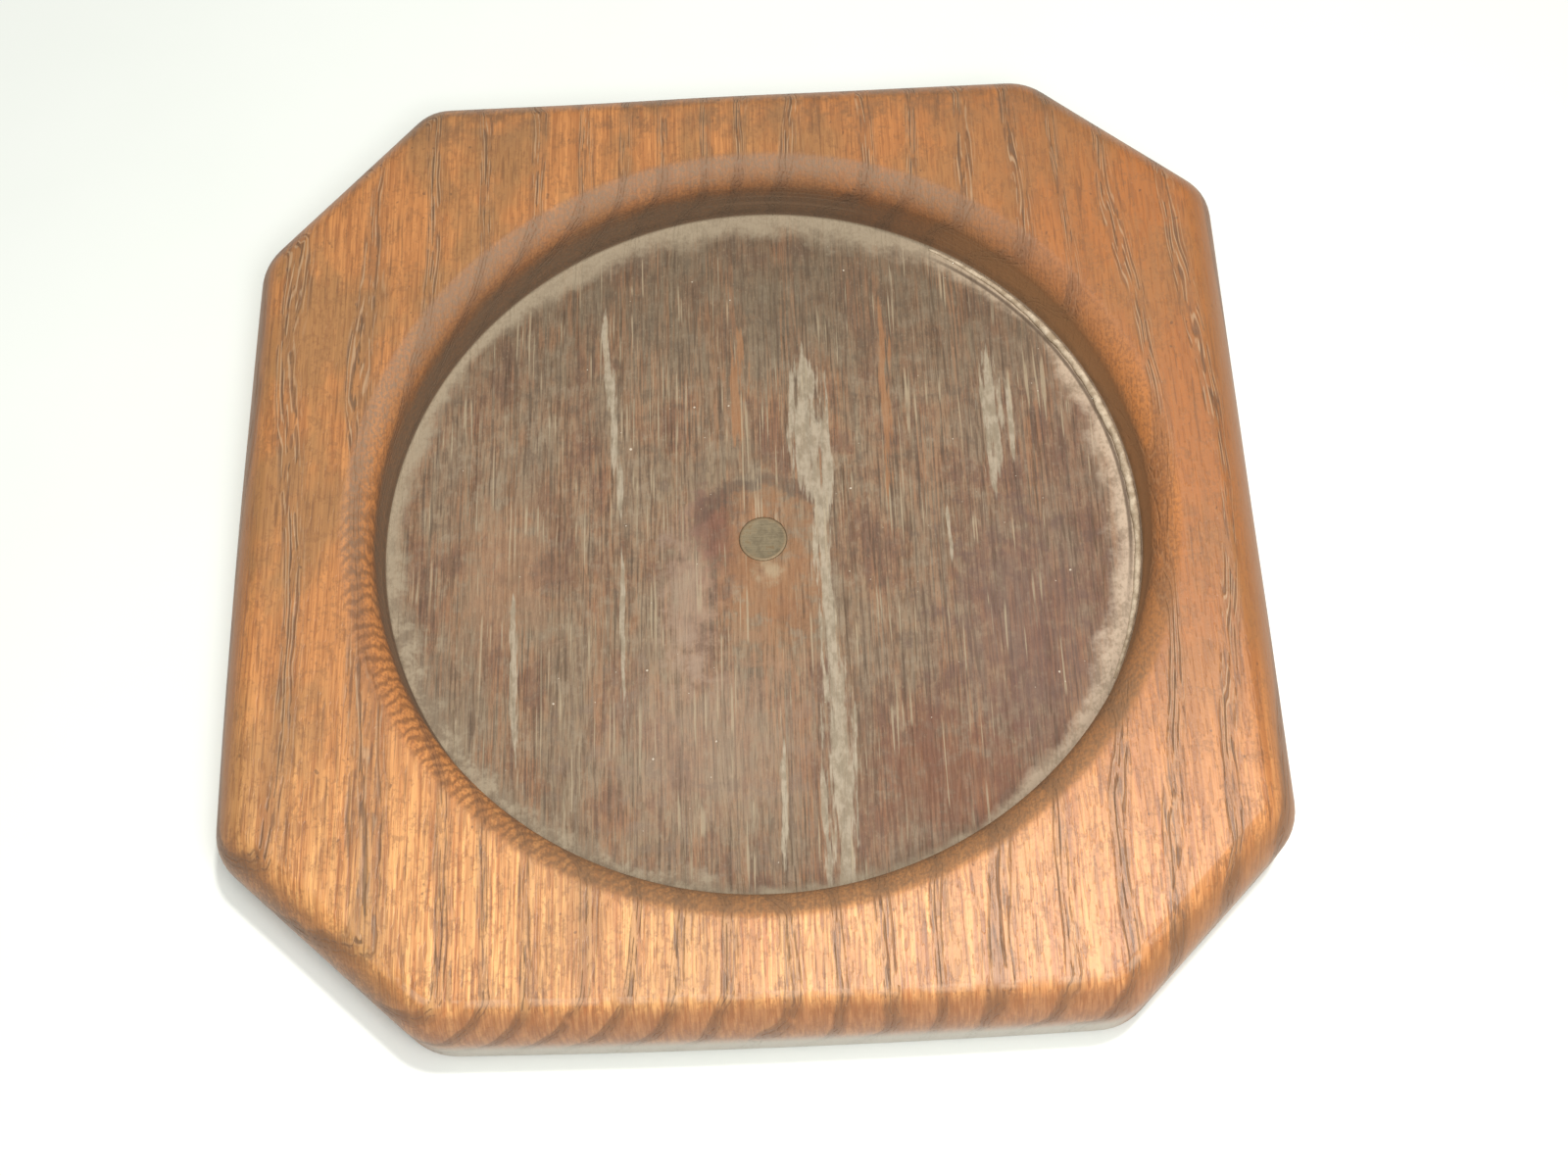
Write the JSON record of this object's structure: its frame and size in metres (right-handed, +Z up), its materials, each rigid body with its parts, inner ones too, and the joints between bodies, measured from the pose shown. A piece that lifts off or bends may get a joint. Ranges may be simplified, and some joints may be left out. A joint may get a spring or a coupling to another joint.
{
  "type": "wooden plaque",
  "caption": "Small square wooden plaque with clipped corners, rounded edges and a shallow round recess that seats a flat disc over a flush metal plug.",
  "frame": {"origin": "middle of the board's underside, with the plaque lying on its back", "axes": "+X across the grain to the right, +Y along the grain to the back edge, +Z up out of the recessed face"},
  "size_m": [0.1384, 0.1394, 0.015],
  "materials": {
    "wood": "satin lacquer outside, bare and glue-stained inside the recess",
    "plug_metal": "dull and tarnished",
    "dried_glue": "dried, dusty"
  },
  "bodies": {
    "root": {"board": "wood", "centre_plug": "plug_metal", "glue_bead": "dried_glue"}
  },
  "joints": []
}
